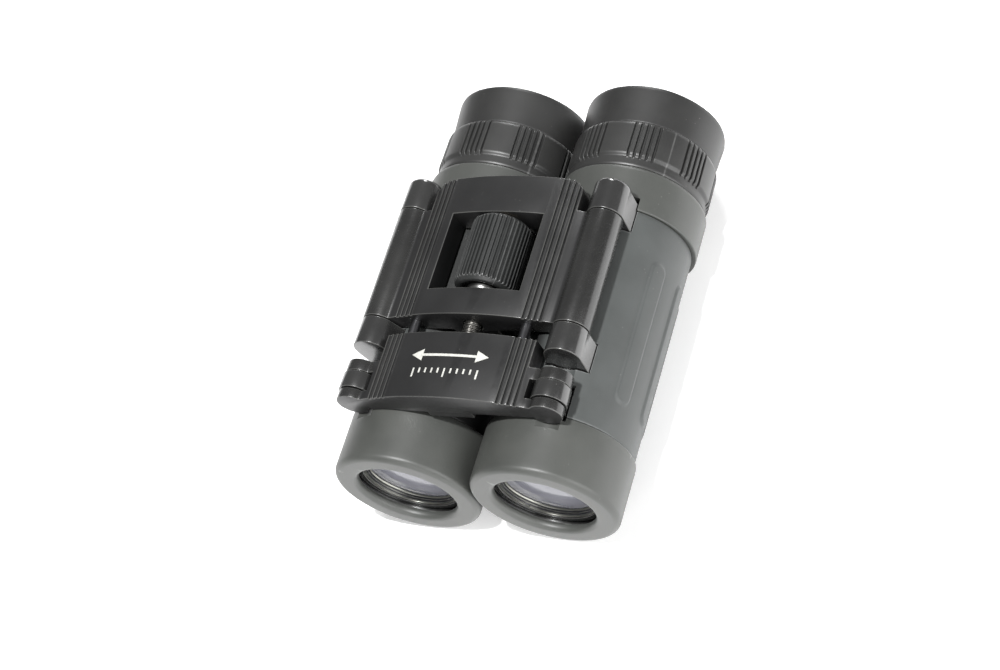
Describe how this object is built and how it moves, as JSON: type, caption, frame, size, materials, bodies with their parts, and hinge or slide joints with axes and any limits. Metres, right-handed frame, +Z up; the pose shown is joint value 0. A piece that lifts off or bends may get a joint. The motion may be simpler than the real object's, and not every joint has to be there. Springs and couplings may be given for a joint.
{
  "type": "compact folding binoculars",
  "caption": "Compact double-hinge roof-prism binoculars, folded, with ribbed rubber barrels, a centre focus wheel in a windowed bridge and fold-down eyecups.",
  "frame": {"origin": "middle of the bounding box on the surface that the folded binoculars lie on", "axes": "+Y from the objectives to the eyepieces, +Z up through the bridge, +X to the user's left barrel"},
  "size_m": [0.0692, 0.1004, 0.0436],
  "materials": {
    "bridge_black": "fine spark-eroded texture",
    "barrel_black": "semi-gloss moulded lugs and tube",
    "rubber_armour": "satin soft-touch armour",
    "rubber_ring": "satin soft-touch rings",
    "ring_black": "satin",
    "eyecup_rubber": "matte soft rubber",
    "wheel_rubber": "satin ribs",
    "inner_black": "flat black inside",
    "retainer_metal": "black anodised, turned",
    "bright_metal": "turned",
    "steel": "ground",
    "brass": "stamped washer",
    "coated_glass": "anti-reflection coated",
    "prism_glass": "polished"
  },
  "bodies": {
    "bridge": {"main_bridge": "bridge_black", "front_bearing_cap": "bridge_black", "rear_bearing_cap": "bridge_black", "cap_screws": "steel", "guide_rods": "steel"},
    "wheel": {"focus_wheel": "wheel_rubber", "focus_nut": "bright_metal", "thrust_washer": "brass"},
    "slider": {"front_bridge": "bridge_black", "focus_screw": "steel", "left_link_pin": "steel", "right_link_pin": "steel"},
    "left_tube": {"left_hinge_pin": "steel", "left_barrel": "barrel_black", "left_sleeve": "rubber_armour", "left_front_ring": "rubber_ring", "left_collar": "rubber_ring", "left_prism_cage": "inner_black", "left_front_prism": "prism_glass", "left_roof_prism": "prism_glass", "left_eyepiece_base": "barrel_black", "left_eyepiece_ring": "ring_black", "left_eyecup": "eyecup_rubber", "left_eyepiece_cell": "inner_black", "left_field_stop": "inner_black", "left_field_lens": "coated_glass", "left_eye_lens": "coated_glass", "left_eye_retainer": "inner_black"},
    "left_objective": {"left_objective_cell": "inner_black", "left_crown_lens": "coated_glass", "left_flint_lens": "coated_glass", "left_lens_retainer": "retainer_metal"},
    "right_tube": {"right_hinge_pin": "steel", "right_barrel": "barrel_black", "right_sleeve": "rubber_armour", "right_front_ring": "rubber_ring", "right_collar": "rubber_ring", "right_prism_cage": "inner_black", "right_front_prism": "prism_glass", "right_roof_prism": "prism_glass", "right_eyepiece_base": "barrel_black"},
    "right_objective": {"right_objective_cell": "inner_black", "right_crown_lens": "coated_glass", "right_flint_lens": "coated_glass", "right_lens_retainer": "retainer_metal"},
    "diopter": {"diopter_ring": "ring_black", "right_eyecup": "eyecup_rubber"},
    "right_eyepiece": {"right_eyepiece_cell": "inner_black", "right_field_stop": "inner_black", "right_field_lens": "coated_glass", "right_eye_lens": "coated_glass", "right_eye_retainer": "inner_black"}
  },
  "joints": [
    {"name": "left_hinge", "type": "hinge", "parent": "bridge", "child": "left_tube", "pos_m": [0.02211, -0.0102, 0.03694], "axis": [0, -1, 0], "range_deg": [0, 56]},
    {"name": "right_hinge", "type": "hinge", "parent": "bridge", "child": "right_tube", "pos_m": [-0.02627, -0.0102, 0.03542], "axis": [0, 1, 0], "range_deg": [0, 56]},
    {"name": "focus_turn", "type": "hinge", "parent": "bridge", "child": "wheel", "pos_m": [-0.00209, -0.0002, 0.03653], "axis": [0, 1, 0], "range_deg": [-144, 360]},
    {"name": "slider_slide", "type": "slide", "parent": "bridge", "child": "slider", "axis": [0, 1, 0], "range_m": [-0.0012, 0.003]},
    {"name": "left_objective_slide", "type": "slide", "parent": "left_tube", "child": "left_objective", "axis": [0, 1, 0], "range_m": [-0.0012, 0.003]},
    {"name": "right_objective_slide", "type": "slide", "parent": "right_tube", "child": "right_objective", "axis": [0, 1, 0], "range_m": [-0.0012, 0.003]},
    {"name": "diopter_turn", "type": "hinge", "parent": "right_tube", "child": "diopter", "pos_m": [-0.01715, 0.0348, 0.01705], "axis": [0, 1, 0], "range_deg": [-60, 60]},
    {"name": "right_eyepiece_slide", "type": "slide", "parent": "right_tube", "child": "right_eyepiece", "axis": [0, 1, 0], "range_m": [-0.0012, 0.0012]}
  ],
  "couplings": [
    {"joint": "slider_slide", "follows": "focus_turn", "m_per_rad": 0.00047746},
    {"joint": "left_objective_slide", "follows": "focus_turn", "m_per_rad": 0.00047746},
    {"joint": "right_objective_slide", "follows": "focus_turn", "m_per_rad": 0.00047746},
    {"joint": "right_eyepiece_slide", "follows": "diopter_turn", "m_per_rad": 0.0011459}
  ]
}
